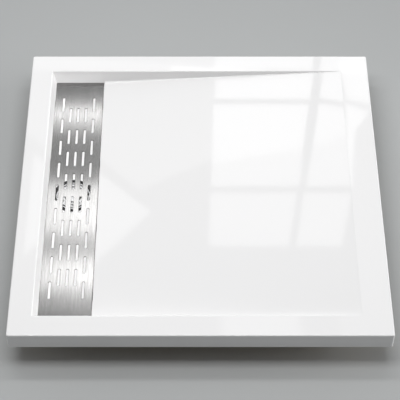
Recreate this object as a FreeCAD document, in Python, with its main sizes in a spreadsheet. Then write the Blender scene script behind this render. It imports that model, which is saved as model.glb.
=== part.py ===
import FreeCAD, Part
import math
import os
import re

import Sketcher
from FreeCAD import Placement, Rotation, Vector

# A square low shower tray with a sloping floor that falls to a channel on its left. A slotted
# steel grate covers the channel. Below the drain hole hangs a flat trap with a ball-jointed
# outlet, and the tray stands on two steel rails with screwed feet.
# Frame: X to the right, Y to the back, Z up, origin on the floor under the tray's centre.

# Driving dimensions, in millimetres and degrees.
SIZES = {
    # Tray shell
    "tray_width": 900,
    "tray_depth": 900,
    "apron_height": 47,
    "floor_gap": 63,
    "skin": 4,
    "rim_width": 56.5,
    "rim_right": 69,
    "side_run": 8.5,
    "end_run": 11.5,
    "grate_sink": 31,
    "channel_sink": 12,
    "corner_radius": 5,
    "top_radius": 3,
    "lip_radius": 4,
    "foot_radius": 8,
    "vanishing_share": 0.005,
    "channel_corner_radius": 2,
    # Backing
    "board_thickness": 10,
    "board_gap": 1,
    # Grate
    "grate_width": 127,
    "grate_gap_left": 0.7,
    "grate_gap_right": 1.5,
    "grate_gap_end": 1.5,
    "grate_sheet": 1.5,
    "grate_flange": 9.5,
    "grate_corner": 2,
    "grate_edge": 0.9,
    "slot_length": 50,
    "slot_width": 6,
    "slot_pitch": 75,
    "outer_slot_count": 9,
    "slot_column_pitch": 20.2,
    "pad_length": 24,
    "pad_foot": 5,
    "pad_height": 6,
    "pad_end_distance": 60,
    "pad_count": 4,
    # Drain fitting
    "drain_radius": 45,
    "recess_sink": 2.5,
    "recess_gap": 1,
    "gasket_thickness": 1.5,
    "gasket_width": 5,
    "gasket_bore_gap": 0.5,
    "flange_radius": 51,
    "flange_sheet": 1.2,
    "sleeve_gap": 1,
    "lower_gasket_thickness": 2.5,
    "lower_gasket_radius": 55.5,
    "lid_radius": 70,
    "lid_thickness": 5,
    "throat_radius": 31.5,
    "throat_wall": 3.5,
    "throat_depth": 16,
    "ledge_width": 3.5,
    "ledge_thickness": 3,
    "clamp_circle": 36.5,
    "clamp_count": 4,
    "clamp_thread": 2.5,
    "clamp_head": 4,
    "clamp_head_height": 2.6,
    "clamp_grip": 11,
    "clamp_boss": 5,
    # Strainer
    "strainer_gap": 0.5,
    "strainer_sheet": 1.6,
    "strainer_skirt": 1.3,
    "strainer_height": 7.6,
    "ring_pitch": 9,
    "first_ring": 20,
    "ring_count": 3,
    "ring_width": 4.5,
    "bridge_width": 4,
    "knob_radius": 5,
    "knob_height": 4,
    # Dip tube
    "tube_gap": 0.1,
    "tube_rim": 5,
    "tube_wall": 2,
    "tube_ledge_gap": 0.3,
    "tube_floor_gap": 6,
    "handle_width": 4,
    "handle_height": 3,
    "ring_cord": 1.15,
    "ring_gap": 0.05,
    # Trap cup
    "trap_floor_gap": 3,
    "trap_wall": 3,
    "cup_radius": 60,
    "cup_rim_height": 4,
    "weir_height": 31,
    "window_width": 40,
    "chamber_reach": 92,
    "chamber_width": 60,
    "seal_cord": 1.2,
    "seal_circle": 61.5,
    "lid_screw_circle": 66.2,
    "lid_screw_count": 8,
    "lid_screw_thread": 1.5,
    "lid_screw_head": 2.8,
    "lid_screw_head_height": 2,
    # Ball outlet
    "outlet_height": 33,
    "outlet_bore": 17,
    "pipe_radius": 20,
    "ball_radius": 24,
    "ball_gap": 0.3,
    "ball_back": 8,
    "ball_distance": 14,
    "pipe_reach": 70,
    "socket_wall": 2.5,
    "socket_mouth": 2,
    "nut_gap": 0.05,
    "nut_wall": 2.4,
    "nut_start": -6,
    "nut_end": 13,
    "nut_mouth_gap": 0.5,
    "nut_mouth_flare": 2,
    "nut_ridge": 0.6,
    "nut_ridge_count": 18,
    "outlet_seal_cord": 1.2,
    # Rails and feet
    "rail_inset": 20,
    "rail_side_inset": 200,
    "rail_web": 30,
    "rail_height": 15,
    "rail_sheet": 2,
    "rail_lip": 12,
    "rail_screw_length": 9,
    "rail_screw_thread": 2,
    "rail_screw_head": 4,
    "rail_screw_head_height": 1.8,
    "rail_screw_inset": 12,
    "rail_screw_count": 5,
    "foot_inset": 25,
    "foot_thread": 6,
    "foot_thread_gap": 0.05,
    "foot_top": 84,
    "foot_hole_gap": 0.5,
    "board_hole_gap": 2,
    "foot_nut_across": 18,
    "foot_nut_height": 8,
    "lock_nut_height": 6,
    "foot_collar_across": 17,
    "foot_collar_height": 6,
    "pad_base_radius": 22,
    "pad_base_height": 9,
    "pad_neck_radius": 11,
    "pad_neck_height": 5,
    "pad_socket_floor": 4,
    "pad_round": 2,
}

# Sizes that follow from the driving dimensions, as formulas.
DERIVED = {
    "rim_z": "floor_gap + apron_height",
    "half_width": "tray_width / 2",
    "half_depth": "tray_depth / 2",
    "grate_z": "rim_z - grate_sink",
    "pan_z": "grate_z - channel_sink",
    "basin_left": "rim_width - half_width",
    "basin_right": "half_width - rim_right",
    "basin_end": "half_depth - rim_width",
    "channel_left": "basin_left + side_run",
    "channel_width": "grate_gap_left + grate_width + grate_gap_right",
    "channel_right": "channel_left + channel_width",
    "channel_end": "basin_end - end_run",
    "grate_x": "channel_left + grate_gap_left + grate_width / 2",
    "grate_length": "2 * (channel_end - grate_gap_end)",
    "drain_x": "grate_x",
    "board_top_z": "floor_gap + board_thickness",
    "end_lean": "atan(end_run / grate_sink)",
    "side_lean": "atan(side_run / grate_sink)",
    "end_reach": "tan(45 deg - end_lean / 2)",
    "side_reach": "tan(45 deg - side_lean / 2)",
    "recess_z": "pan_z - recess_sink",
    "boss_z": "recess_z - skin",
    "recess_radius": "flange_radius + recess_gap",
    "gasket_bore": "drain_radius + gasket_bore_gap",
    "lid_z": "boss_z - lower_gasket_thickness",
    "lid_under_z": "lid_z - lid_thickness",
    "sleeve_radius": "drain_radius - sleeve_gap",
    "flange_z": "recess_z + gasket_thickness",
    "throat_z": "lid_z - throat_depth",
    "tube_seat_z": "throat_z + ledge_thickness",
    "ledge_radius": "throat_radius - ledge_width",
    "tube_rim_radius": "throat_radius - tube_gap",
    "tube_radius": "ledge_radius - tube_ledge_gap",
    "tube_bore": "tube_radius - tube_wall",
    "cup_floor_z": "trap_floor_gap + trap_wall",
    "tube_mouth_z": "cup_floor_z + tube_floor_gap",
    "strainer_radius": "sleeve_radius - flange_sheet - strainer_gap",
    "strainer_z": "lid_z + flange_sheet",
    "chamber_face": "drain_x + chamber_reach",
    "ball_x": "chamber_face + ball_distance",
    "socket_bore": "ball_radius + ball_gap",
    "socket_radius": "socket_bore + socket_wall",
    "nut_radius": "socket_radius + nut_wall",
    "outer_slot_x": "2 * slot_column_pitch",
    "rail_length": "tray_width - 2 * rail_inset",
    "rail_y": "half_depth - rail_side_inset",
    "rail_web_z": "floor_gap - rail_height",
    "rail_screw_pitch": "(rail_length - 2 * rail_screw_inset) / (rail_screw_count - 1)",
    "rail_screw_x": "rail_screw_inset - rail_length / 2",
    "rail_screw_y": "rail_web / 2 + rail_lip / 2",
    "foot_pitch": "rail_length / 2 - foot_inset",
    "foot_bore": "foot_thread + foot_thread_gap",
    "pad_top_z": "pad_base_height + pad_neck_height",
}

WORD = re.compile(r"[a-z_]+[a-z_0-9]*")
TOLERANCE = 1e-4

doc = FreeCAD.newDocument("shower_tray")
sheet = doc.addObject("Spreadsheet::Sheet", "sizes")
for row, (alias, size) in enumerate(SIZES.items(), start=1):
    sheet.set(f"A{row}", str(size))
    sheet.setAlias(f"A{row}", alias)
doc.recompute()


# ---------------------------------------------------------------- formulas

def formula(text):
    """Write out a formula with the sheet's cells in place of every named size."""
    def spell(match):
        word = match.group(0)
        if word in DERIVED:
            return f"({formula(DERIVED[word])})"
        return f"sizes.{word}" if word in SIZES else word
    return WORD.sub(spell, str(text))


def value(text):
    """A formula's number."""
    return float(sheet.evalExpression(formula(text)))


def bind(thing, name, text):
    """Tie a property to a formula."""
    thing.setExpression(name, formula(text))


# ---------------------------------------------------------------- sketches and bodies

def new_body(label, x="0", y="0", z="0"):
    """An empty body whose place is tied to three formulas."""
    body = doc.addObject("PartDesign::Body", label)
    body.Label = label
    for axis, text in zip("xyz", (x, y, z)):
        bind(body, f"Placement.Base.{axis}", text)
    return body


def origin_feature(body, role):
    return next(item for item in body.Origin.OriginFeatures if item.Role == role)


def new_sketch(body, name, role="XY_Plane", offset="0"):
    """A sketch on one of the body's own origin planes, moved along the plane's normal."""
    sketch = body.newObject("Sketcher::SketchObject", name)
    sketch.AttachmentSupport = [(origin_feature(body, role), "")]
    sketch.MapMode = "FlatFace"
    bind(sketch, "AttachmentOffset.Base.z", offset)
    return sketch


def place_point(sketch, item, point, across, along):
    """Tie one point of a sketch element to its distances from the origin."""
    for kind, text in (("DistanceX", across), ("DistanceY", along)):
        index = sketch.addConstraint(Sketcher.Constraint(kind, -1, 1, item, point, value(text)))
        bind(sketch, f"Constraints[{index}]", text)


def outline(sketch, corners):
    """A closed outline through corners, each a pair of formulas.

    A corner that is followed by an arc also gives the arc's centre and radius.
    """
    first = sketch.GeometryCount
    count = len(corners)
    spots = [Vector(value(corner[0]), value(corner[1]), 0) for corner in corners]
    ends = []
    for step, corner in enumerate(corners):
        start, end = spots[step], spots[(step + 1) % count]
        if len(corner) == 2:
            sketch.addGeometry(Part.LineSegment(start, end), False)
            ends.append((1, 2))
            continue
        centre = Vector(value(corner[2]), value(corner[3]), 0)
        middle = centre + ((start + end) / 2 - centre).normalize() * value(corner[4])
        turns_left = (middle - start).cross(end - middle).z > 0
        arc_start, arc_end = (start, end) if turns_left else (end, start)
        sketch.addGeometry(Part.Arc(arc_start, middle, arc_end), False)
        ends.append((1, 2) if turns_left else (2, 1))
    for step, (_, last) in enumerate(ends):
        following = (step + 1) % count
        sketch.addConstraint(Sketcher.Constraint(
            "Coincident", first + step, last, first + following, ends[following][0]))
    for step, corner in enumerate(corners):
        place_point(sketch, first + step, ends[step][0], corner[0], corner[1])
        if len(corner) > 2:
            set_radius(sketch, first + step, corner[4])


def set_radius(sketch, item, radius):
    index = sketch.addConstraint(Sketcher.Constraint("Radius", item, value(radius)))
    bind(sketch, f"Constraints[{index}]", radius)


def circle(sketch, radius, across="0", along="0"):
    """A circle with its centre and radius tied to formulas."""
    centre = Vector(value(across), value(along), 0)
    item = sketch.addGeometry(Part.Circle(centre, Vector(0, 0, 1), value(radius)), False)
    place_point(sketch, item, 3, across, along)
    set_radius(sketch, item, radius)


def rectangle(sketch, half_x, half_y, across="0", along="0"):
    """A rectangle about a centre."""
    left, right = f"({across}) - ({half_x})", f"({across}) + ({half_x})"
    low, high = f"({along}) - ({half_y})", f"({along}) + ({half_y})"
    outline(sketch, [(left, low), (right, low), (right, high), (left, high)])


def hexagon(sketch, across_flats, across="0", along="0"):
    """A hexagon about a centre, with two flats square to Y."""
    half = f"({across_flats}) / 2"
    tip = f"({across_flats}) / sqrt(3)"
    turns = ((1, 0), (0.5, 1), (-0.5, 1), (-1, 0), (-0.5, -1), (0.5, -1))
    outline(sketch, [(f"({across}) + {x} * {tip}", f"({along}) + {y} * {half}") for x, y in turns])


def pad(body, sketch, length, name, midplane=False):
    """Extrude a sketch along its normal, or to both sides of it."""
    feature = body.newObject("PartDesign::Pad", name)
    feature.Profile = sketch
    feature.Midplane = midplane
    bind(feature, "Length", length)
    body.Tip = feature
    doc.recompute()
    return feature


def pocket(body, sketch, length, name):
    """Cut a sketch upwards along its normal, and check that material went."""
    before = body.Shape.Volume
    feature = body.newObject("PartDesign::Pocket", name)
    feature.Profile = sketch
    feature.Reversed = True
    bind(feature, "Length", length)
    body.Tip = feature
    doc.recompute()
    if body.Shape.Volume >= before:
        raise RuntimeError(f"{name} cuts nothing")
    return feature


def revolve(body, corners, name, role="XZ_Plane", axis="V_Axis"):
    """Turn an outline of (radius, height) corners once about an axis of its sketch."""
    sketch = new_sketch(body, f"{name}_profile", role)
    outline(sketch, corners)
    feature = body.newObject("PartDesign::Revolution", name)
    feature.Profile = sketch
    feature.ReferenceAxis = (sketch, [axis])
    feature.Angle = 360
    body.Tip = feature
    doc.recompute()
    return feature


def polar(body, feature, count, name, role="Z_Axis"):
    """Repeat a feature in a full circle about one of the body's axes."""
    pattern = body.newObject("PartDesign::PolarPattern", name)
    pattern.Originals = [feature]
    pattern.Axis = (origin_feature(body, role), [""])
    pattern.Angle = 360
    bind(pattern, "Occurrences", count)
    body.Tip = pattern
    doc.recompute()
    return pattern


def grid(body, feature, name, x_step, x_count, y_step="1", y_count="1"):
    """Repeat a feature in rows along X and Y."""
    pattern = body.newObject("PartDesign::LinearPattern", name)
    pattern.Originals = [feature]
    pattern.Direction = (origin_feature(body, "X_Axis"), [""])
    pattern.Mode = "Spacing"
    bind(pattern, "Offset", x_step)
    bind(pattern, "Occurrences", x_count)
    pattern.Direction2 = (origin_feature(body, "Y_Axis"), [""])
    pattern.Mode2 = "Spacing"
    bind(pattern, "Offset2", y_step)
    bind(pattern, "Occurrences2", y_count)
    body.Tip = pattern
    doc.recompute()
    pattern.Spacings2 = [-1.0] * len(pattern.Spacings2)
    doc.recompute()
    return pattern


def edge_names(shape, wanted):
    """Names of the shape's edges whose bounding box satisfies a test."""
    return [f"Edge{n}" for n, edge in enumerate(shape.Edges, start=1) if wanted(edge.BoundBox)]


def round_edges(body, wanted, radius, name):
    """Fillet the edges of the body's tip that satisfy a test."""
    base = body.Tip
    feature = body.newObject("PartDesign::Fillet", name)
    feature.Base = (base, edge_names(base.Shape, wanted))
    bind(feature, "Radius", radius)
    body.Tip = feature
    doc.recompute()
    return feature


def near(first, second):
    return abs(first - second) < TOLERANCE


def is_upright(box):
    return near(box.XLength, 0) and near(box.YLength, 0) and not near(box.ZLength, 0)


# ---------------------------------------------------------------- primitives and booleans

def block(name, low, high):
    """A box between two corners, each three formulas."""
    solid = doc.addObject("Part::Box", name)
    for axis, length, start, end in zip("xyz", ("Length", "Width", "Height"), low, high):
        bind(solid, f"Placement.Base.{axis}", start)
        bind(solid, length, f"({end}) - ({start})")
    return solid


def upright_cylinder(name, radius, x, y, low, high):
    """A vertical cylinder between two heights."""
    solid = doc.addObject("Part::Cylinder", name)
    bind(solid, "Radius", radius)
    bind(solid, "Height", f"({high}) - ({low})")
    for axis, text in zip("xyz", (x, y, low)):
        bind(solid, f"Placement.Base.{axis}", text)
    return solid


def basin_wedge(name, growth, sink):
    """The basin's space: flat at the rim, drawn in to the channel's mouth as it goes down.

    Its right face is the sloping floor. Growth moves the walls outwards and sink moves the
    whole space down.
    """
    solid = doc.addObject("Part::Wedge", name)
    solid.Placement = Placement(Vector(), Rotation(Vector(1, 0, 0), -90))
    bind(solid, "Placement.Base.z", f"rim_z - {sink}")
    limits = {
        "Xmin": f"basin_left - {growth}",
        "Xmax": "basin_right",
        "X2min": f"channel_left - {growth}",
        "X2max": "channel_right",
        "Zmin": f"-basin_end - {growth}",
        "Zmax": f"basin_end + {growth}",
        "Z2min": f"-channel_end - {growth}",
        "Z2max": f"channel_end + {growth}",
        "Ymin": "0",
        "Ymax": "grate_sink",
    }
    for limit, text in limits.items():
        bind(solid, limit, text)
    return solid


def join(name, solids):
    result = doc.addObject("Part::MultiFuse", name)
    result.Shapes = solids
    return result


def cut(name, base, tool):
    result = doc.addObject("Part::Cut", name)
    result.Base = base
    result.Tool = tool
    return result


def fillet_solid(name, base, edges):
    """Fillet a boolean's edges. Each entry is an edge number, its first and its last radius."""
    result = doc.addObject("Part::Fillet", name)
    result.Base = base
    result.Edges = edges
    return result


# ---------------------------------------------------------------- tray

def channel_space(prefix, growth, sink, corner):
    """The channel's space below the grate, with rounded upright corners."""
    channel = block(
        f"{prefix}_channel",
        (f"channel_left - {growth}", f"-channel_end - {growth}", f"pan_z - {sink}"),
        (f"channel_right + {growth}", f"channel_end + {growth}", "grate_z"),
    )
    doc.recompute()
    upright = [n for n, edge in enumerate(channel.Shape.Edges, start=1) if is_upright(edge.BoundBox)]
    return fillet_solid(f"{prefix}_channel_round", channel, [(n, corner, corner) for n in upright])


def lip_arc(edge, radius, reach, lean):
    """Three parts of a rounded rim edge: its start on the rim with the arc's centre, and its end.

    Distances run outwards from the tray's middle. The wall below leans inwards.
    """
    tangent = f"{radius} * {reach}"
    start = (f"{edge} + {tangent}", "rim_z", f"{edge} + {tangent}", f"rim_z - {radius}", radius)
    end = (f"{edge} - {tangent} * sin({lean})", f"rim_z - {tangent} * cos({lean})")
    return start, end


def foot_arc(edge, floor, radius, reach, lean):
    """A rounded wall foot: its start on the wall with the arc's centre, and its end on the floor."""
    tangent = f"{radius} * {reach}"
    centre = (f"{edge} - {tangent}", f"{floor} + {radius}")
    start = (f"{edge} + {tangent} * sin({lean})", f"{floor} + {tangent} * cos({lean})",
             *centre, radius)
    return start, (f"{edge} - {tangent}", floor)


def mirrored(half):
    """Close a half outline with its mirror image. Arcs keep their centres and radii."""
    arcs = [corner[2:] for corner in half]
    other = []
    for step in range(len(half) - 1, -1, -1):
        across, along = half[step][:2]
        arc = arcs[step - 1] if step else ()
        if arc:
            arc = (f"-({arc[0]})", arc[1], arc[2])
        other.append((f"-({across})", along, *arc))
    return half + other


def end_section(share, rounded_foot):
    """The basin's cross-section along Y, at a share of its full depth."""
    floor = f"rim_z - grate_sink * {share}"
    edge = f"(basin_end - end_run * {share})"
    half = list(lip_arc("basin_end", f"(lip_radius * {share})", "end_reach", "end_lean"))
    if rounded_foot:
        half += foot_arc(edge, floor, f"(foot_radius * {share})", "end_reach", "end_lean")
    else:
        half.append((edge, floor))
    return mirrored(half)


def basin_space():
    """The space above the grate and above the floor that falls to it, as two solids."""
    over_grate = new_body("basin_over_grate")
    section = new_sketch(over_grate, "grate_section", "YZ_Plane", "basin_left - lip_radius")
    outline(section, end_section("1", rounded_foot=False))
    pad(over_grate, section, "channel_right - basin_left + lip_radius", "grate_section_run")

    side = new_body("basin_side")
    profile = new_sketch(side, "side_profile", "XZ_Plane")
    start, end = lip_arc("(-basin_left)", "lip_radius", "side_reach", "side_lean")
    mirror = [(f"-({end[0]})", end[1], f"-({start[2]})", start[3], start[4]),
              (f"-({start[0]})", start[1])]
    outline(profile, [("channel_right", "rim_z"), ("channel_right", "grate_z"),
                      ("channel_left", "grate_z"), *mirror])
    pad(side, profile, "tray_depth", "side_run_length", midplane=True)
    left = doc.addObject("Part::Common", "basin_left_part")
    left.Base = over_grate
    left.Tool = side

    fall = new_body("basin_fall")
    sections = []
    for share, x in (("1", "channel_right"),
                     ("vanishing_share", "basin_right - vanishing_share * (basin_right - channel_right)")):
        sketch = new_sketch(fall, f"fall_section_{len(sections) + 1}", "YZ_Plane", x)
        outline(sketch, end_section(share, rounded_foot=True))
        sections.append(sketch)
    loft = fall.newObject("PartDesign::AdditiveLoft", "basin_fall_loft")
    loft.Profile = sections[0]
    loft.Sections = sections[1:]
    loft.Ruled = True
    fall.Tip = loft
    return [left, fall]


def outer_block():
    """The tray's outside, with its corners and its top edge rounded."""
    body = new_body("tray_outside", z="floor_gap")
    sketch = new_sketch(body, "tray_plan")
    rectangle(sketch, "half_width", "half_depth")
    pad(body, sketch, "apron_height", "tray_height")
    round_edges(body, lambda box: is_upright(box), "corner_radius", "tray_corners")
    top = value("apron_height")
    round_edges(body, lambda box: near(box.ZMin, top) and near(box.ZMax, top),
                "top_radius", "tray_top_edge")
    return body


def make_tray(board_screws):
    """Shell, resin backing and base board."""
    outside = outer_block()
    underside = block(
        "under_space",
        ("skin - half_width", "skin - half_depth", "floor_gap"),
        ("half_width - skin", "half_depth - skin", "rim_z - skin"),
    )
    inner = join("inner_space", [
        *basin_space(), channel_space("inner", "0", "0", value("channel_corner_radius"))])
    outer = join("outer_space", [
        basin_wedge("outer_basin", "skin", "skin"),
        channel_space("outer", "skin", "skin", value("channel_corner_radius + skin"))])
    boss = upright_cylinder("drain_boss", "recess_radius + skin", "drain_x", "0", "boss_z", "pan_z")
    recess = upright_cylinder("drain_recess", "recess_radius", "drain_x", "0", "recess_z", "pan_z")
    hole = upright_cylinder("drain_hole", "drain_radius", "drain_x", "0", "boss_z", "recess_z")
    hood = cut("tray_hood", outside, underside)
    solid = join("tray_solid", [hood, outer, boss])
    shell = cut("tray_shell", solid, join("tray_removed", [inner, recess, hole]))

    backing = block(
        "backing_block",
        ("skin - half_width", "skin - half_depth", "board_top_z"),
        ("half_width - skin", "half_depth - skin", "rim_z - skin"),
    )
    core = cut("resin_core", backing, join("core_removed", [outer, *foot_holes("core", "board_top_z")]))

    panel = block(
        "board_block",
        ("skin - half_width", "skin - half_depth", "floor_gap"),
        ("half_width - skin", "half_depth - skin", "board_top_z"),
    )
    mouth = block(
        "board_mouth",
        ("channel_left - skin - board_gap", "-channel_end - skin - board_gap", "floor_gap"),
        ("channel_right + skin + board_gap", "channel_end + skin + board_gap", "board_top_z"),
    )
    removed = [mouth, board_screws, *foot_holes("board", "floor_gap")]
    board = cut("base_board", panel, join("board_removed", removed))
    return [shell, core, board]


def foot_places():
    """Number and formulas of each foot's X and Y."""
    places = []
    for side in (-1, 1):
        for step in (-1, 0, 1):
            places.append((len(places) + 1, f"{step} * foot_pitch", f"{side} * rail_y"))
    return places


def foot_holes(prefix, low):
    """Clearance holes over the feet, as deep as the threaded rods reach."""
    holes = []
    for number, x, y in foot_places():
        name = f"{prefix}_foot_hole_{number}"
        radius = "foot_thread + board_hole_gap"
        holes.append(upright_cylinder(name, radius, x, y, low, "foot_top + board_hole_gap"))
    return holes


# ---------------------------------------------------------------- grate

def slot_sketch(body, name, across, along):
    """One round-ended slot that runs along Y, on the grate's top."""
    sketch = new_sketch(body, name)
    half, radius = "(slot_length - slot_width) / 2", "slot_width / 2"
    x, y, reach, bend = value(across), value(along), value(half), value(radius)
    far, close = Vector(x, y + reach, 0), Vector(x, y - reach, 0)
    normal = Vector(0, 0, 1)
    top = sketch.addGeometry(Part.ArcOfCircle(Part.Circle(far, normal, bend), 0, math.pi), False)
    bottom = sketch.addGeometry(
        Part.ArcOfCircle(Part.Circle(close, normal, bend), math.pi, 2 * math.pi), False)
    side = Vector(bend, 0, 0)
    left = sketch.addGeometry(Part.LineSegment(far - side, close - side), False)
    right = sketch.addGeometry(Part.LineSegment(close + side, far + side), False)
    for first, first_end, second, second_end in (
        (top, 2, left, 1), (left, 2, bottom, 1), (bottom, 2, right, 1), (right, 2, top, 1),
    ):
        sketch.addConstraint(
            Sketcher.Constraint("Tangent", first, first_end, second, second_end))
    place_point(sketch, top, 3, across, f"({along}) + {half}")
    place_point(sketch, bottom, 3, across, f"({along}) - {half}")
    set_radius(sketch, top, radius)
    return sketch


def make_grate():
    """The folded steel cover with its two staggered sets of slots, and its rubber pads."""
    cover = new_body("grate_cover", x="grate_x", z="grate_z")
    plan = new_sketch(cover, "grate_plan", offset="-grate_flange")
    rectangle(plan, "grate_width / 2", "grate_length / 2")
    pad(cover, plan, "grate_flange", "grate_block")
    round_edges(cover, lambda box: is_upright(box), "grate_corner", "grate_corners")
    round_edges(cover, lambda box: near(box.ZMin, 0), "grate_edge", "grate_top_edge")
    under = new_sketch(cover, "grate_under", offset="-grate_flange")
    rectangle(under, "grate_width / 2 - grate_sheet", "grate_length / 2 - grate_sheet")
    pocket(cover, under, "grate_flange - grate_sheet", "grate_fold")

    columns = (
        ("outer", "-outer_slot_x", "2 * outer_slot_x", "2", "outer_slot_count"),
        ("inner", "-slot_column_pitch", "slot_column_pitch", "3", "outer_slot_count - 1"),
    )
    for name, first_x, x_step, x_count, y_count in columns:
        first_y = f"-({y_count} - 1) * slot_pitch / 2"
        sketch = slot_sketch(cover, f"{name}_slot", first_x, first_y)
        slot = cover.newObject("PartDesign::Pocket", f"{name}_slot_cut")
        slot.Profile = sketch
        slot.Midplane = True
        bind(slot, "Length", "4 * grate_sheet")
        cover.Tip = slot
        doc.recompute()
        before = cover.Shape.Volume
        grid(cover, slot, f"{name}_slots", x_step, x_count, "slot_pitch", y_count)
        if cover.Shape.Volume >= before:
            raise RuntimeError(f"{name} slots cut nothing")

    pads = new_body("grate_pads", x="grate_x", z="pan_z")
    rise = "channel_sink - grate_flange"
    outer, fold = "grate_width / 2", "grate_width / 2 - grate_sheet"
    inner = "grate_width / 2 - pad_foot"
    first_y = "pad_end_distance - grate_length / 2"
    section = new_sketch(pads, "pad_section", "XZ_Plane", f"-({first_y}) - pad_length")
    for side in ("-1", "1"):
        corners = [(outer, "0"), (outer, rise), (fold, rise), (fold, "pad_height"),
                   (inner, "pad_height"), (inner, "0")]
        outline(section, [(f"{side} * ({x})", z) for x, z in corners])
    block_pair = pad(pads, section, "pad_length", "pad_pair")
    span = "(grate_length - 2 * pad_end_distance - pad_length) / (pad_count - 1)"
    grid(pads, block_pair, "pad_rows", "1", "1", span, "pad_count")
    return [cover, pads]


# ---------------------------------------------------------------- drain fitting

def ring(label, bore, radius, low, high):
    """A flat ring about the drain's axis."""
    body = new_body(label, x="drain_x", z=low)
    height = f"({high}) - ({low})"
    revolve(body, [(bore, "0"), (radius, "0"), (radius, height), (bore, height)], f"{label}_turn")
    return body


def o_ring(label, circle_radius, cord, height):
    """A rubber ring of round section about the drain's axis."""
    body = new_body(label, x="drain_x", z=height)
    sketch = new_sketch(body, f"{label}_section", "XZ_Plane")
    circle(sketch, cord, circle_radius, "0")
    turn = body.newObject("PartDesign::Revolution", f"{label}_turn")
    turn.Profile = sketch
    turn.ReferenceAxis = (sketch, ["V_Axis"])
    turn.Angle = 360
    body.Tip = turn
    doc.recompute()
    return body


def on_circle(radius, turn):
    """The X and Y formulas of a point on a circle."""
    return f"{radius} * cos({turn})", f"{radius} * sin({turn})"


def screw_group(label, z, head, head_height, thread, length, place, count):
    """Screws in a circle about the drain's axis, heads up from z and shanks down."""
    body = new_body(label, x="drain_x", z=z)
    heads = new_sketch(body, f"{label}_head")
    circle(heads, head, *place)
    head_pad = pad(body, heads, head_height, f"{label}_head_pad")
    polar(body, head_pad, count, f"{label}_heads")
    shanks = new_sketch(body, f"{label}_shank", offset=f"-({length})")
    circle(shanks, thread, *place)
    shank_pad = pad(body, shanks, length, f"{label}_shank_pad")
    polar(body, shank_pad, count, f"{label}_shanks")
    return body


def make_drain():
    """Flange, gaskets, clamp screws and strainer."""
    flange = new_body("waste_flange", x="drain_x", z="lid_z")
    top, under = "flange_z - lid_z + flange_sheet", "flange_z - lid_z"
    inner_sleeve = "sleeve_radius - flange_sheet"
    revolve(flange, [
        ("throat_radius", "0"), ("sleeve_radius", "0"), ("sleeve_radius", under),
        ("flange_radius", under), ("flange_radius", top), (inner_sleeve, top),
        (inner_sleeve, "flange_sheet"), ("throat_radius", "flange_sheet"),
    ], "flange_turn")
    holes = new_sketch(flange, "flange_hole")
    circle(holes, "clamp_thread", "clamp_circle", "0")
    hole = pocket(flange, holes, "flange_sheet", "flange_hole_cut")
    polar(flange, hole, "clamp_count", "flange_holes")

    upper = ring("flange_gasket", "gasket_bore", "gasket_bore + gasket_width", "recess_z", "flange_z")
    lower = ring("trap_gasket", "gasket_bore", "lower_gasket_radius", "lid_z", "boss_z")
    screws = screw_group("flange_screws", "lid_z + flange_sheet", "clamp_head",
                         "clamp_head_height", "clamp_thread", "clamp_grip + flange_sheet",
                         ("clamp_circle", "0"), "clamp_count")
    return [flange, upper, lower, screws, make_strainer()]


def make_strainer():
    """A round cap with ring-shaped openings and a lifting knob, standing on a thin skirt."""
    cap = new_body("hair_strainer", x="drain_x", z="strainer_z")
    skirt = "strainer_radius - strainer_skirt"
    under = "strainer_height - strainer_sheet"
    revolve(cap, [
        ("0", under), (skirt, under), (skirt, "0"), ("strainer_radius", "0"),
        ("strainer_radius", "strainer_height"), ("0", "strainer_height"),
    ], "strainer_turn")
    openings = new_sketch(cap, "strainer_rings", offset=under)
    for step in range(int(value("ring_count"))):
        middle = f"first_ring + {step} * ring_pitch"
        circle(openings, f"{middle} - ring_width / 2")
        circle(openings, f"{middle} + ring_width / 2")
    pocket(cap, openings, "strainer_sheet", "strainer_openings")
    for turn, name in ((45, "rising"), (-45, "falling")):
        bar = new_sketch(cap, f"{name}_bar", offset=under)
        bar.AttachmentOffset = Placement(bar.AttachmentOffset.Base, Rotation(Vector(0, 0, 1), turn))
        rectangle(bar, skirt, "bridge_width / 2")
        pad(cap, bar, "strainer_sheet", f"{name}_bridge")
    knob = new_sketch(cap, "strainer_knob", offset="strainer_height")
    circle(knob, "knob_radius")
    pad(cap, knob, "knob_height", "strainer_grip")
    return cap


# ---------------------------------------------------------------- trap

def make_dip_tube():
    """The removable tube whose lower end stands in the trap's water, with its sealing ring."""
    tube = new_body("dip_tube", x="drain_x", z="tube_seat_z")
    bottom = "tube_mouth_z - tube_seat_z"
    middle = "tube_rim / 2"
    groove = "tube_rim_radius - 2 * ring_cord + (tube_gap - ring_gap)"
    revolve(tube, [
        ("tube_bore", bottom), ("tube_radius", bottom), ("tube_radius", "0"),
        ("tube_rim_radius", "0"), ("tube_rim_radius", f"{middle} - ring_cord"),
        (groove, f"{middle} - ring_cord"), (groove, f"{middle} + ring_cord"),
        ("tube_rim_radius", f"{middle} + ring_cord"), ("tube_rim_radius", "tube_rim"),
        ("tube_bore", "tube_rim"),
    ], "tube_turn")
    bar = new_sketch(tube, "tube_handle", offset="tube_rim - handle_height")
    rectangle(bar, "tube_bore + tube_wall / 2", "handle_width / 2")
    pad(tube, bar, "handle_height", "tube_handle_bar")
    seal = o_ring("dip_tube_ring", "throat_radius - ring_gap - ring_cord", "ring_cord",
                  f"tube_seat_z + {middle}")
    return [tube, seal]


def lid_screw_place(number):
    """Where a lid screw stands, half a step round from the X axis."""
    return on_circle("lid_screw_circle", f"({number} + 0.5) * 360 deg / lid_screw_count")


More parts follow.
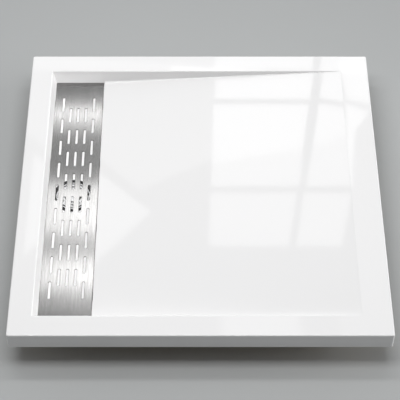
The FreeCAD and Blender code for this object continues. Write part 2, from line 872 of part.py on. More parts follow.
def make_trap_lid():
    """The trap's upper half: a plate with the throat that holds the dip tube."""
    lid = new_body("trap_lid", x="drain_x", z="lid_z")
    outer = "throat_radius + throat_wall"
    groove_floor = "2 * seal_cord - lid_thickness"
    inner_groove, outer_groove = "seal_circle - seal_cord", "seal_circle + seal_cord"
    revolve(lid, [
        ("throat_radius", "0"), ("lid_radius", "0"), ("lid_radius", "-lid_thickness"),
        (outer_groove, "-lid_thickness"), (outer_groove, groove_floor),
        (inner_groove, groove_floor), (inner_groove, "-lid_thickness"),
        (outer, "-lid_thickness"), (outer, "-throat_depth"),
        ("ledge_radius", "-throat_depth"), ("ledge_radius", "ledge_thickness - throat_depth"),
        ("throat_radius", "ledge_thickness - throat_depth"),
    ], "lid_turn")
    bosses = new_sketch(lid, "lid_boss", offset="-clamp_grip - clamp_thread")
    rectangle(bosses, "clamp_boss - ledge_thickness / 2", "clamp_boss",
              "clamp_circle + ledge_thickness / 2")
    boss = pad(lid, bosses, "clamp_grip + clamp_thread - lid_thickness", "lid_boss_pad")
    polar(lid, boss, "clamp_count", "lid_bosses")
    threads = new_sketch(lid, "lid_thread", offset="-clamp_grip")
    circle(threads, "clamp_thread", "clamp_circle", "0")
    thread = pocket(lid, threads, "clamp_grip", "lid_thread_cut")
    polar(lid, thread, "clamp_count", "lid_threads")
    rim_holes = new_sketch(lid, "lid_rim_hole", offset="-lid_thickness")
    circle(rim_holes, "lid_screw_thread", *lid_screw_place(0))
    rim_hole = pocket(lid, rim_holes, "lid_thickness", "lid_rim_hole_cut")
    polar(lid, rim_hole, "lid_screw_count", "lid_rim_holes")
    return lid


def make_trap_cup():
    """The trap's lower half: a water cup, a weir and the outlet chamber with its ball socket."""
    top = "lid_under_z"
    outside = [
        upright_cylinder("cup_wall", "cup_radius + trap_wall", "drain_x", "0", "trap_floor_gap", top),
        upright_cylinder("cup_rim", "lid_radius", "drain_x", "0", f"{top} - cup_rim_height", top),
        block("chamber_outside", ("drain_x", "-chamber_width / 2", "trap_floor_gap"),
              ("chamber_face", "chamber_width / 2", top)),
        x_cylinder("socket_outside", "socket_radius", "chamber_face", "ball_x + socket_mouth"),
    ]
    cup_space = upright_cylinder("cup_space", "cup_radius", "drain_x", "0", "cup_floor_z", top)
    window = block(
        "weir_window", ("drain_x", "-window_width / 2", "cup_floor_z + weir_height"),
        ("drain_x + cup_radius + 2 * trap_wall", "window_width / 2", f"{top} - trap_wall"))
    chamber = block(
        "chamber_space",
        ("drain_x + cup_radius + trap_wall", "trap_wall - chamber_width / 2", "cup_floor_z"),
        ("chamber_face - trap_wall", "chamber_width / 2 - trap_wall", f"{top} - trap_wall"))
    mouth = x_cylinder("outlet_mouth", "outlet_bore", "chamber_face - 2 * trap_wall", "chamber_face")
    socket = x_cylinder("socket_space", "socket_bore", "chamber_face", "ball_x + socket_mouth")
    holes = []
    for number in range(int(value("lid_screw_count"))):
        x, y = lid_screw_place(number)
        holes.append(upright_cylinder(f"cup_rim_hole_{number + 1}", "lid_screw_thread",
                                      f"drain_x + {x}", y, f"{top} - cup_rim_height", top))
    solid = join("cup_solid", outside)
    removed = join("cup_removed", [cup_space, window, chamber, mouth, socket, *holes])
    return cut("trap_cup", solid, removed)


def x_cylinder(name, radius, low, high):
    """A cylinder along X at the outlet's height."""
    solid = doc.addObject("Part::Cylinder", name)
    solid.Placement = Placement(Vector(), Rotation(Vector(0, 1, 0), 90))
    bind(solid, "Radius", radius)
    bind(solid, "Height", f"({high}) - ({low})")
    bind(solid, "Placement.Base.x", low)
    bind(solid, "Placement.Base.z", "outlet_height")
    return solid


def make_outlet():
    """The ball-ended outlet pipe, its rubber ring and the hand nut that holds the ball."""
    spigot = new_body("outlet_spigot", x="ball_x", z="outlet_height")
    back_radius = "sqrt(ball_radius ^ 2 - ball_back ^ 2)"
    neck_x = "sqrt(ball_radius ^ 2 - pipe_radius ^ 2)"
    revolve(spigot, [
        ("-ball_back", back_radius, "0", "0", "ball_radius"), (neck_x, "pipe_radius"),
        ("pipe_reach", "pipe_radius"), ("pipe_reach", "outlet_bore"), ("-ball_back", "outlet_bore"),
    ], "ball_turn", axis="H_Axis")

    nut = new_body("outlet_nut", x="ball_x", z="outlet_height")
    bore = "socket_radius + nut_gap"
    shoulder = "socket_mouth + 2 * outlet_seal_cord + ball_gap"
    shoulder_radius = f"sqrt(ball_radius ^ 2 - ({shoulder}) ^ 2) + nut_mouth_gap"
    neck = "(nut_end + 2 * socket_mouth + 2 * outlet_seal_cord) / 2"
    neck_radius = f"sqrt(ball_radius ^ 2 - ({neck}) ^ 2) + nut_mouth_gap"
    revolve(nut, [
        ("nut_start", bore), (shoulder, bore), (shoulder, shoulder_radius), (neck, neck_radius),
        ("nut_end", f"{neck_radius} + nut_mouth_flare"), ("nut_end", "nut_radius"),
        ("nut_start", "nut_radius"),
    ], "nut_turn", axis="H_Axis")
    ridge = new_sketch(nut, "nut_ridge_section", "YZ_Plane", "nut_start")
    circle(ridge, "nut_ridge", "0", "nut_radius")
    ridge_pad = pad(nut, ridge, "nut_end - nut_start", "nut_ridge_run")
    polar(nut, ridge_pad, "nut_ridge_count", "nut_ridges", "X_Axis")
    return [spigot, nut]


def make_outlet_seal():
    """The rubber ring between the socket's end and the ball."""
    seal = new_body("outlet_seal", x="ball_x", z="outlet_height")
    sketch = new_sketch(seal, "outlet_seal_section", "XZ_Plane")
    middle = "socket_mouth + outlet_seal_cord"
    reach = f"sqrt((ball_radius + outlet_seal_cord + ring_gap) ^ 2 - ({middle}) ^ 2)"
    circle(sketch, "outlet_seal_cord", middle, reach)
    turn = seal.newObject("PartDesign::Revolution", "outlet_seal_turn")
    turn.Profile = sketch
    turn.ReferenceAxis = (sketch, ["H_Axis"])
    turn.Angle = 360
    seal.Tip = turn
    doc.recompute()
    return seal


def make_trap():
    """Everything from the dip tube to the outlet pipe."""
    seal = o_ring("trap_lid_ring", "seal_circle", "seal_cord", "lid_under_z + seal_cord")
    screws = screw_group("trap_lid_screws", "lid_z", "lid_screw_head", "lid_screw_head_height",
                         "lid_screw_thread", "lid_thickness + cup_rim_height",
                         lid_screw_place(0), "lid_screw_count")
    return [*make_dip_tube(), make_trap_lid(), make_trap_cup(), seal, screws, *make_outlet(),
            make_outlet_seal()]


# ---------------------------------------------------------------- rails and feet

def make_rail(label, side):
    """A hat-section steel rail along X, open upwards, with lips that screw to the board."""
    rail = new_body(label, y=f"{side} * rail_y", z="rail_web_z")
    section = new_sketch(rail, f"{label}_section", "YZ_Plane", "-rail_length / 2")
    web, inside = "rail_web / 2", "rail_web / 2 - rail_sheet"
    lip, under = "rail_web / 2 + rail_lip", "rail_height - rail_sheet"
    right = [(web, "0"), (web, under), (lip, under), (lip, "rail_height"),
             (inside, "rail_height"), (inside, "rail_sheet")]
    left = [(f"-({y})", z) for y, z in reversed(right)]
    outline(section, right + left)
    pad(rail, section, "rail_length", f"{label}_length")
    holes = new_sketch(rail, f"{label}_foot_hole")
    circle(holes, "foot_thread + foot_hole_gap", "-foot_pitch", "0")
    hole = pocket(rail, holes, "rail_sheet", f"{label}_foot_hole_cut")
    grid(rail, hole, f"{label}_foot_holes", "foot_pitch", "3")
    lips = new_sketch(rail, f"{label}_screw_hole", offset=under)
    for hand in ("-1", "1"):
        circle(lips, "rail_screw_thread", "rail_screw_x", f"{hand} * rail_screw_y")
    lip_hole = pocket(rail, lips, "rail_sheet", f"{label}_screw_hole_cut")
    grid(rail, lip_hole, f"{label}_screw_holes", "rail_screw_pitch", "rail_screw_count")
    return rail


def make_rail_screws():
    """The wood screws that hold both rails' lips to the base board, heads down."""
    screws = new_body("rail_screws", z="floor_gap - rail_sheet")
    rows = [f"{side} * rail_y + {hand} * rail_screw_y" for side in (-1, 1) for hand in (-1, 1)]
    heads = new_sketch(screws, "rail_screw_heads", offset="-rail_screw_head_height")
    shanks = new_sketch(screws, "rail_screw_shanks")
    for row in rows:
        circle(heads, "rail_screw_head", "rail_screw_x", row)
        circle(shanks, "rail_screw_thread", "rail_screw_x", row)
    head = pad(screws, heads, "rail_screw_head_height", "rail_screw_head_pad")
    grid(screws, head, "rail_screw_head_rows", "rail_screw_pitch", "rail_screw_count")
    shank = pad(screws, shanks, "rail_screw_length", "rail_screw_shank_pad")
    grid(screws, shank, "rail_screw_shank_rows", "rail_screw_pitch", "rail_screw_count")
    return screws


def make_nuts(label, low, height):
    """Six hexagon nuts, one on each foot's rod."""
    nuts = new_body(label, z=low)
    sketch = new_sketch(nuts, f"{label}_plan")
    for side in ("-1", "1"):
        hexagon(sketch, "foot_nut_across", "-foot_pitch", f"{side} * rail_y")
        circle(sketch, "foot_bore", "-foot_pitch", f"{side} * rail_y")
    pair = pad(nuts, sketch, height, f"{label}_pair")
    grid(nuts, pair, f"{label}_rows", "foot_pitch", "3")
    return nuts


def make_foot(number, x, y):
    """One screwed foot: a threaded rod with a spanner collar, and its moulded pad."""
    rod = new_body(f"foot_rod_{number}", x=x, y=y, z="pad_socket_floor")
    core = new_sketch(rod, f"rod_plan_{number}")
    circle(core, "foot_thread")
    pad(rod, core, "foot_top - pad_socket_floor", f"rod_length_{number}")
    collar = new_sketch(rod, f"collar_plan_{number}", offset="pad_top_z - pad_socket_floor")
    hexagon(collar, "foot_collar_across")
    pad(rod, collar, "foot_collar_height", f"rod_collar_{number}")

    base = new_body(f"foot_pad_{number}", x=x, y=y)
    revolve(base, [
        ("0", "0"), ("pad_base_radius", "0"), ("pad_base_radius", "pad_base_height - pad_round"),
        ("pad_base_radius - pad_round", "pad_base_height"), ("pad_neck_radius", "pad_base_height"),
        ("pad_neck_radius", "pad_top_z"), ("foot_thread", "pad_top_z"),
        ("foot_thread", "pad_socket_floor"), ("0", "pad_socket_floor"),
    ], f"pad_turn_{number}")
    return [rod, base]


def make_stand():
    """Rails, nuts and the six feet."""
    pieces = [make_rail("rail_front", -1), make_rail("rail_back", 1)]
    inside = "rail_web_z + rail_sheet"
    pieces.append(make_nuts("foot_nuts", inside, "foot_nut_height"))
    pieces.append(make_nuts("lock_nuts", "rail_web_z - lock_nut_height", "lock_nut_height"))
    for number, x, y in foot_places():
        pieces.extend(make_foot(number, x, y))
    return pieces


# ---------------------------------------------------------------- whole part

def check(pieces):
    """Stop if anything in the document failed or a piece isn't a valid solid."""
    for thing in doc.Objects:
        if any(state in ("Invalid", "Error") for state in thing.State):
            raise RuntimeError(f"{thing.Label} failed: {thing.State}")
    for piece in pieces:
        shape = piece.Shape
        if shape.isNull() or not shape.isValid() or not shape.Solids:
            raise RuntimeError(f"{piece.Label} has no valid solid")


rail_screws = make_rail_screws()
pieces = [*make_tray(rail_screws), *make_grate(), *make_drain(), *make_trap(), rail_screws,
          *make_stand()]
doc.recompute()
check(pieces)

os.makedirs("parts", exist_ok=True)
for piece in pieces:
    piece.Shape.exportStep(f"parts/{piece.Label}.step")
    box = piece.Shape.BoundBox
    print(f"{piece.Label}: {len(piece.Shape.Solids)} solids, {piece.Shape.Volume / 1000:.1f} cm3, "
          f"X {box.XMin:.1f}..{box.XMax:.1f}, Y {box.YMin:.1f}..{box.YMax:.1f}, "
          f"Z {box.ZMin:.1f}..{box.ZMax:.1f}")
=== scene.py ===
"""Looks of a square low shower tray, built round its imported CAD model.

The script loads the model as a fixed frame, gives every node its finish, adds the shapes that
the solids leave plain, such as threads and screw heads, and sets the stage.
"""

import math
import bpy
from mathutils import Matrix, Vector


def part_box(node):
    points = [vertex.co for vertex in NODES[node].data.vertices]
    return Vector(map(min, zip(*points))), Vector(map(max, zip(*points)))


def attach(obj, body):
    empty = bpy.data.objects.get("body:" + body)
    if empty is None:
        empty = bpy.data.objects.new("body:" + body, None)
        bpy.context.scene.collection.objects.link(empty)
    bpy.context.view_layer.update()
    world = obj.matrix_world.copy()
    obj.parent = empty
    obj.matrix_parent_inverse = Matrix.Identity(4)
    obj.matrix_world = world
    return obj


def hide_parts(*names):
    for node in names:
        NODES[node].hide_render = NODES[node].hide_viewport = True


bl_info = {
    "name": "Shower tray looks",
    "version": (1, 0, 0),
    "blender": (4, 5, 0),
    "location": "View3D > Sidebar > Shower tray",
    "description": "Finishes, fasteners and stage for a low shower tray with a channel grate",
    "category": "Object",
}

from typing import NamedTuple

import bpy
import numpy as np
from mathutils import Vector

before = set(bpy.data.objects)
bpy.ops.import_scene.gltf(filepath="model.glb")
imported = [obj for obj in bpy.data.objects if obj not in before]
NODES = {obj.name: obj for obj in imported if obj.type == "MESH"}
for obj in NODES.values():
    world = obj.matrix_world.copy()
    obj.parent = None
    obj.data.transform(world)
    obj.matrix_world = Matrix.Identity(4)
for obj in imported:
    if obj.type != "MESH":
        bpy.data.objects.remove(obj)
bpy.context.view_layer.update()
MM = 0.001

# Lit panels behind the tray, one behind the other: the surface that mirrors each, its share
# of the window's radiance, and its outline in metres along X and Z.
PANELS = {
    "rim_pane_1": ("rim", 0.9, ((0.088, 2.160), (0.558, 2.160), (0.552, 2.296), (0.080, 2.296))),
    "rim_pane_2": ("rim", 0.9, ((0.597, 2.170), (0.815, 2.170), (0.830, 2.320), (0.588, 2.320))),
    "rim_left": ("rim", 0.35, ((-1.084, 2.180), (0.083, 2.180), (0.085, 2.317), (-1.101, 2.317))),
    "pane_1": ("floor", 1.05, ((-0.125, 2.295), (0.349, 2.342), (0.323, 2.540), (-0.147, 2.494))),
    "pane_2": ("floor", 1.0, ((0.393, 2.356), (0.630, 2.379), (0.630, 2.632), (0.368, 2.548))),
    "pane_3": ("floor", 1.0, ((-0.156, 2.552), (0.317, 2.598), (0.274, 2.941), (-0.207, 3.007))),
    "pane_3_low": ("floor", 0.7, (
        (-0.207, 3.019), (0.274, 2.953), (0.247, 3.256), (-0.230, 3.210))),
    "pane_4": ("floor", 0.95, (
        (0.367, 2.617), (0.632, 2.711), (0.602, 2.746), (0.540, 2.863), (0.327, 2.953))),
    "pane_4_low": ("floor", 0.7, ((0.327, 2.965), (0.541, 2.875), (0.531, 3.309), (0.279, 3.284))),
    "pane_5": ("floor", 0.6, ((-0.243, 3.306), (0.228, 3.352), (0.163, 3.830), (-0.292, 3.785))),
    "pane_6": ("floor", 0.6, ((0.266, 3.368), (0.527, 3.394), (0.464, 3.873), (0.203, 3.847))),
    "wedge": ("floor", 0.55, (
        (-0.863, 3.040), (-0.792, 3.148), (-0.587, 3.466), (-0.948, 3.885), (-1.006, 3.959))),
    "haze": ("floor", 0.28, (
        (-0.898, 2.307), (-0.131, 2.382), (-0.211, 3.065), (-0.625, 3.280), (-0.975, 2.749))),
    "rim_front": ("rim", 0.4, ((0.154, 4.585), (0.621, 4.585), (0.670, 4.877), (0.159, 4.877))),
    "band_1": ("grate", 1.826, ((-1.008, 2.644), (0.678, 2.644), (0.685, 2.735), (-1.018, 2.735))),
    "band_1_low": ("grate", 0.581, (
        (-1.018, 2.731), (0.685, 2.731), (0.693, 2.832), (-1.029, 2.832))),
    "band_2": ("grate", 1.494, ((-1.080, 3.298), (0.728, 3.298), (0.761, 3.741), (-1.128, 3.741))),
    "band_2_low": ("grate", 0.365, (
        (-1.128, 3.735), (0.761, 3.735), (0.781, 3.996), (-1.156, 3.996))),
    "band_3": ("grate", 1.743, ((-1.158, 4.010), (0.783, 4.010), (0.805, 4.316), (-1.191, 4.316))),
    "band_3_low": ("grate", 0.581, (
        (-0.829, 4.310), (0.806, 4.310), (0.825, 4.568), (-0.848, 4.568))),
    "band_right": ("grate", 0.199, (
        (-0.598, 2.574), (0.676, 2.574), (0.843, 4.807), (-0.866, 4.807))),
    "rim_corner": ("rim", 0.8, ((0.715, 2.471), (0.965, 2.471), (1.000, 2.790), (0.771, 2.729))),
    "rim_corner_low": ("rim", 0.8, (
        (0.771, 2.778), (0.896, 2.840), (0.836, 2.989), (0.861, 3.451), (0.838, 3.451))),
    "rim_right": ("rim", 0.15, ((0.710, 2.392), (1.157, 2.392), (1.508, 5.090), (0.926, 5.090))),
    "band_base": ("grate", 0.114, (
        (-1.210, 2.542), (0.880, 2.542), (1.111, 4.926), (-1.519, 4.926))),
}
# Where the first panel stands along Y, and how far each next one is behind it.
NEAREST_PANEL, PANEL_STEP = 2.5, 0.01
# The panel that stands for the room in front of the tray.
ROOM_PANEL = ((-5, -4, 0.3), (5, -4, 0.3), (5, -4, 9), (-5, -4, 9))
# The panel under the grate: its share of the window's radiance and its distance below the grate.
UNDER_GRATE_SHARE, UNDER_GRATE_GAP = 0.85, 1 * MM
# The nodes that mirror each group of panels.
MIRRORS = {
    "rim": ("tray_shell",),
    "floor": ("tray_shell",),
    "grate": ("grate_cover",),
    "metal": ("grate_cover", "waste_flange", "hair_strainer"),
}

# Lamps: width and depth, place, and the point each one faces, in metres.
LAMPS = {
    "overhead_front": ((2.6, 0.66), (-0.3, -0.29, 2.6), (-0.3, -0.29, 0.0)),
    "overhead_back": ((2.6, 0.3), (-0.3, 0.75, 2.6), (-0.3, 0.75, 0.0)),
    "side": ((2.6, 2.2), (6.0, -0.3, 1.6), (0.0, 0.0, 0.1)),
}
# The back lamp's radiance as a share of the front one's.
OVERHEAD_BACK_SHARE = 1.45

# Camera: sensor width in millimetres, sideways shift as a share of the picture, and the distance
# that it sees.
SENSOR_WIDTH, CAMERA_SHIFT, CAMERA_REACH = 36, 0.01325, 100
# Half the side of the studio floor.
FLOOR_REACH = 30.0
# The surroundings: their colour, and their strength where they are dimmest.
SKY_COLOUR, SKY_LEAST = (0.97, 0.985, 1.0), 0.11

# The range that holds most of a noise's values.
NOISE_RANGE = (0.35, 0.65)
# Painted shade, nearly black, on the slots' cut walls and around cut edges: its colour, how far it
# reaches from a cut edge, and how far from the grate's middle line slots are cut.
SLOT_SHADE_COLOUR, EDGE_SHADE_REACH, SLOTTED_REACH = (0.03, 0.03, 0.03), 1.45 * MM, 50 * MM
# The slots' rounded lips: width, steps, and the least angle of an edge that gets one.
SLOT_LIP, SLOT_LIP_STEPS, SLOT_LIP_ANGLE = 0.72 * MM, 3, math.radians(50)
# Faces that meet at less than this are joined to one flat face.
FLAT_ANGLE = math.radians(1)
# Faces of a made piece that meet at less than this are shaded as one smooth surface.
SMOOTH_ANGLE = math.radians(35)

# Feet: threaded rod, its hexagonal collar, nuts and pad.
FEET = range(1, 7)
ROD_ROOT, ROD_CREST = 4.95 * MM, 6 * MM
STEM_END_RADIUS, STEM_CHAMFER = 5.2 * MM, 0.8 * MM
COLLAR_ACROSS, COLLAR_HEIGHT = 17 * MM, 6 * MM
NUT_ACROSS, NUT_BORE = 18 * MM, 6.05 * MM
PAD_RADIUS, PAD_NECK, PAD_SHOULDER, PAD_RIBS = 22 * MM, 11 * MM, 9 * MM, 12
PAD_HOLLOW, PAD_SOCKET_FLOOR = 3.2 * MM, 4 * MM


class Screw(NamedTuple):
    """Sizes of one group of screws, in metres, and the way they point."""

    head_radius: float
    head_height: float
    crest: float
    root: float
    pitch: float
    point: float = 0.0
    points_up: bool = False


SCREWS = {
    "flange_screws": Screw(4 * MM, 2.6 * MM, 2.5 * MM, 1.9 * MM, 0.8 * MM),
    "trap_lid_screws": Screw(2.8 * MM, 2.0 * MM, 1.5 * MM, 1.1 * MM, 0.6 * MM),
    "rail_screws": Screw(4 * MM, 1.8 * MM, 2.0 * MM, 1.4 * MM, 1.4 * MM, 4 * MM, True),
}
# Points of a node nearer than this to each other along X and Y belong to the same screw.
SCREW_REACH = 5 * MM
# How much further, in radians, each screw is turned than the one before.
SCREW_TURN = 0.7


def settings(context):
    return context.scene.shower_tray


def first_of(nodes, kind):
    """The first node of a kind, such as the shader that a new material starts with."""
    return next(node for node in nodes if node.type == kind)


# ---------------------------------------------------------------- settings

class TraySettings(bpy.types.PropertyGroup):
    """Colours and sizes of the tray's finishes."""

    acrylic_colour: bpy.props.FloatVectorProperty(
        name="Acrylic colour", description="Body colour of the glossy shell",
        subtype="COLOR", size=3, min=0, max=1, default=(0.873, 0.866, 0.863))
    acrylic_roughness: bpy.props.FloatProperty(
        name="Acrylic roughness", description="How soft the reflections in the shell are",
        subtype="FACTOR", min=0, max=1, default=0.03)
    steel_colour: bpy.props.FloatVectorProperty(
        name="Grate colour", description="Colour of the brushed stainless steel",
        subtype="COLOR", size=3, min=0, max=1, default=(0.35, 0.347, 0.344))
    steel_roughness: bpy.props.FloatProperty(
        name="Grate roughness", description="Roughness of the brushed grate",
        subtype="FACTOR", min=0, max=1, default=0.13)
    streak_width: bpy.props.FloatProperty(
        name="Streak width", description="Typical width of a brushed streak",
        subtype="DISTANCE", min=0.0001, max=0.01, default=0.0011)
    thread_pitch: bpy.props.FloatProperty(
        name="Thread pitch", description="Distance between the turns of a foot's thread",
        subtype="DISTANCE", min=0.0005, max=0.005, default=0.00175)
    floor_colour: bpy.props.FloatVectorProperty(
        name="Floor colour", description="Colour of the studio floor",
        subtype="COLOR", size=3, min=0, max=1, default=(0.45, 0.46, 0.46))


class StageSettings(bpy.types.PropertyGroup):
    """Camera and lamps."""

    lens: bpy.props.FloatProperty(
        name="Lens", description="Focal length on a 36 mm sensor", subtype="DISTANCE_CAMERA",
        min=10, max=500, default=127.17)
    camera_place: bpy.props.FloatVectorProperty(
        name="Camera place", description="Where the camera stands", subtype="XYZ",
        unit="LENGTH", size=3, default=(-0.0133, -2.2408, 2.8545))
    camera_pitch: bpy.props.FloatProperty(
        name="Camera pitch", description="How far the camera looks below the horizon",
        subtype="ANGLE", min=0, max=math.pi / 2, default=math.radians(51.38))
    overhead_light: bpy.props.FloatProperty(
        name="Overhead light", description="Radiance of the large soft lamp above the tray",
        min=0, max=40, default=5.7)
    side_light: bpy.props.FloatProperty(
        name="Side light", description="Radiance of the lamp to the right of the tray",
        min=0, max=40, default=11.0)
    window_light: bpy.props.FloatProperty(
        name="Window light", description="Radiance of the window panes behind the tray",
        min=0, max=20, default=2.2)
    room_light: bpy.props.FloatProperty(
        name="Room light", description="Radiance of the room in front of the tray, in the metal",
        min=0, max=5, default=0.7)


# ---------------------------------------------------------------- materials

class Finish:
    """A procedural material that is built up from textures in the tray's own frame."""

    def __init__(self, name, colour, roughness, metallic=0.0, **sockets):
        self.material = bpy.data.materials.new(name)
        self.material.use_nodes = True
        self.nodes = self.material.node_tree.nodes
        self.links = self.material.node_tree.links
        self.shader = first_of(self.nodes, "BSDF_PRINCIPLED")
        self.place = self.nodes.new("ShaderNodeTexCoord").outputs["Object"]
        self.colour = (*colour, 1.0)
        self.shader.inputs["Base Color"].default_value = self.colour
        self.shader.inputs["Roughness"].default_value = roughness
        self.shader.inputs["Metallic"].default_value = metallic
        for socket, number in sockets.items():
            self.shader.inputs[socket.replace("_", " ")].default_value = number
        self.height = None

    def add(self, kind, inputs=(), **attributes):
        """A new node whose inputs are numbers or other nodes' outputs."""
        node = self.nodes.new(kind)
        for name, setting in attributes.items():
            setattr(node, name, setting)
        for key, source in dict(inputs).items():
            if isinstance(source, bpy.types.NodeSocket):
                self.links.new(source, node.inputs[key])
            else:
                node.inputs[key].default_value = source
        return node

    def stretched(self, scale):
        return self.add("ShaderNodeMapping", {
            "Vector": self.place, "Scale": scale}).outputs["Vector"]

    def noise(self, scale, detail=3.0, roughness=0.55, stretch=(1, 1, 1)):
        """A noise from 0 to 1 with features of 1/scale metres."""
        return self.add("ShaderNodeTexNoise", {
            "Vector": self.stretched(stretch), "Scale": scale, "Detail": detail,
            "Roughness": roughness}).outputs["Fac"]

    def cells(self, scale, stretch=(1, 1, 1)):
        """Cells of 1/scale metres: the distance from each one's middle and its own random share."""
        node = self.add("ShaderNodeTexVoronoi", {
            "Vector": self.stretched(stretch), "Scale": scale})
        split = self.add("ShaderNodeSeparateColor", {"Color": node.outputs["Color"]})
        return node.outputs["Distance"], split.outputs["Red"]

    def spread(self, source, low, high, start=0.0, end=1.0):
        """Map a value's range from start..end to low..high."""
        return self.add("ShaderNodeMapRange", {
            "Value": source, "From Min": start, "From Max": end,
            "To Min": low, "To Max": high}).outputs["Result"]

    def maths(self, operation, *values):
        return self.add("ShaderNodeMath", enumerate(values), operation=operation).outputs["Value"]

    def tint(self, share, other, base=None):
        """Blend the colour towards another where share is high."""
        mix = self.add("ShaderNodeMix", {"Factor": share}, data_type="RGBA")
        first, second = (s for s in mix.inputs if s.type == "RGBA")
        if base is None:
            first.default_value = self.colour
        else:
            self.links.new(base, first)
        second.default_value = (*other, 1.0)
        output = next(s for s in mix.outputs if s.type == "RGBA")
        self.links.new(output, self.shader.inputs["Base Color"])
        return output

    def punched(self, middle, reach):
        """One on upright faces nearer than reach to the line x = middle, where slots are cut."""
        split = self.add("ShaderNodeSeparateXYZ", {"Vector": self.place})
        normal = self.add("ShaderNodeSeparateXYZ", {
            "Vector": self.add("ShaderNodeTexCoord").outputs["Normal"]})
        away = self.maths("ABSOLUTE", self.maths("SUBTRACT", split.outputs["X"], middle))
        near = self.maths("LESS_THAN", away, reach)
        upright = self.spread(self.maths("ABSOLUTE", normal.outputs["Z"]), 1, 0, 0.9, 0.999)
        return self.maths("MULTIPLY", near, upright)

    def edges(self, reach):
        """One along cut edges, fading out over reach metres on either side."""
        inside = self.add("ShaderNodeAmbientOcclusion", {"Distance": reach},
                          inside=True, only_local=True, samples=6)
        return self.spread(inside.outputs["AO"], 1, 0, 0.62, 0.99)

    def rough(self, source, low, high):
        """Vary the roughness from low to high with a noise."""
        share = self.spread(source, low, high, *NOISE_RANGE)
        self.links.new(share, self.shader.inputs["Roughness"])

    def bump(self, height, depth):
        """Raise the surface by up to depth metres, on top of earlier bumps."""
        node = self.add("ShaderNodeBump", {"Height": height, "Strength": 1.0, "Distance": depth})
        if self.height is not None:
            self.links.new(self.height, node.inputs["Normal"])
        self.height = node.outputs["Normal"]
        self.links.new(self.height, self.shader.inputs["Normal"])


def dress(material, *names):
    """Put a material on CAD nodes."""
    for name in names:
        for slot in NODES[name].material_slots:
            slot.material = material


def acrylic(chosen):
    finish = Finish("white_acrylic", chosen.acrylic_colour, chosen.acrylic_roughness,
                    IOR=1.49, Coat_Weight=0.35, Coat_Roughness=0.03)
    finish.tint(finish.spread(finish.noise(1.6, 2), 0, 0.5), (0.858, 0.856, 0.86))
    finish.rough(finish.noise(9, 3), chosen.acrylic_roughness, chosen.acrylic_roughness + 0.02)
    finish.bump(finish.noise(14, 2), 0.00004)
    return finish.material


def cast_resin():
    finish = Finish("filled_resin", (0.74, 0.71, 0.64), 0.7)
    finish.tint(finish.spread(finish.noise(160, 5), 0, 0.7, 0.35, 0.7), (0.56, 0.53, 0.47))
    finish.bump(finish.noise(240, 5), 0.0005)
    return finish.material


def particle_board():
    finish = Finish("particle_board", (0.50, 0.38, 0.23), 0.8)
    distance, chip = finish.cells(330, (1, 0.45, 1))
    base = finish.tint(finish.spread(chip, 0, 0.8), (0.66, 0.53, 0.35))
    finish.tint(finish.spread(finish.noise(900, 3), 0, 0.6, 0.5, 0.75), (0.30, 0.21, 0.12), base)
    finish.bump(distance, 0.0003)
    return finish.material


def brushed_steel(chosen, grate_middle):
    """Stainless steel brushed along Y."""
    finish = Finish("grate_steel", chosen.steel_colour, chosen.steel_roughness, 1.0,
                    Anisotropic=1.0)
    lines = finish.noise(1 / chosen.streak_width, 6, 0.8, stretch=(1, 0.015, 1))
    broad = finish.noise(90, 3, 0.6, stretch=(1, 0.03, 1))
    both = finish.maths("MULTIPLY_ADD", lines, 0.8, finish.spread(broad, 0, 0.2))
    brushed = finish.tint(finish.spread(both, 0, 1, 0.38, 0.64), (0.253, 0.25, 0.247))
    # Painted shade: cut edges and the slots' upright walls are darkened nearly to black, as if in
    # shadow.
    edge_shaded_steel = finish.tint(finish.edges(EDGE_SHADE_REACH), SLOT_SHADE_COLOUR, brushed)
    finish.tint(finish.punched(grate_middle, SLOTTED_REACH), SLOT_SHADE_COLOUR, edge_shaded_steel)
    finish.rough(lines, chosen.steel_roughness, chosen.steel_roughness + 0.05)
    across = finish.add("ShaderNodeCombineXYZ", {"X": 1.0, "Y": 0.02, "Z": 0.05})
    finish.links.new(across.outputs["Vector"], finish.shader.inputs["Tangent"])
    finish.bump(lines, 0.00001)
    return finish.material


def polished_steel():
    finish = Finish("drain_chrome", (0.16, 0.16, 0.165), 0.1, 1.0)
    finish.rough(finish.noise(120, 3), 0.06, 0.2)
    finish.tint(finish.spread(finish.noise(60, 4), 0, 0.5, 0.45, 0.7), (0.11, 0.11, 0.115))
    return finish.material


def satin_steel():
    """Blasted steel that scatters most of the light."""
    finish = Finish("satin_steel", (0.96, 0.96, 0.965), 0.4, 0.25)
    finish.rough(finish.noise(400, 3), 0.34, 0.5)
    finish.tint(finish.spread(finish.noise(90, 4), 0, 0.5, 0.45, 0.7), (0.90, 0.90, 0.905))
    finish.bump(finish.noise(2500, 2), 0.00001)
    return finish.material


def zinc_plate(name, colour, dark):
    """Zinc with the flaky pattern of its crystals."""
    finish = Finish(name, colour, 0.35, 1.0)
    _, flake = finish.cells(70)
    finish.tint(finish.spread(flake, 0, 0.8), dark)
    finish.rough(finish.noise(60, 4), 0.28, 0.5)
    finish.bump(finish.noise(500, 3), 0.00002)
    return finish.material


def screw_zinc():
    name = "screw_steel"
    return bpy.data.materials.get(name) or zinc_plate(name, (0.63, 0.63, 0.62), (0.55, 0.55, 0.53))


def rubber():
    finish = Finish("black_rubber", (0.022, 0.022, 0.023), 0.75)
    finish.tint(finish.spread(finish.noise(300, 4), 0, 0.6), (0.045, 0.045, 0.047))
    finish.bump(finish.noise(1500, 2), 0.00008)
    return finish.material


def moulded(name, colour, shade, roughness, grain=0.00004):
    """Injection-moulded plastic with a fine grain and slight cloudiness."""
    finish = Finish(name, colour, roughness)
    finish.tint(finish.spread(finish.noise(25, 3), 0, 0.8, 0.35, 0.7), shade)
    finish.rough(finish.noise(80, 3), roughness - 0.06, roughness + 0.08)
    finish.bump(finish.noise(1800, 2), grain)
    return finish.material


# ---------------------------------------------------------------- meshes

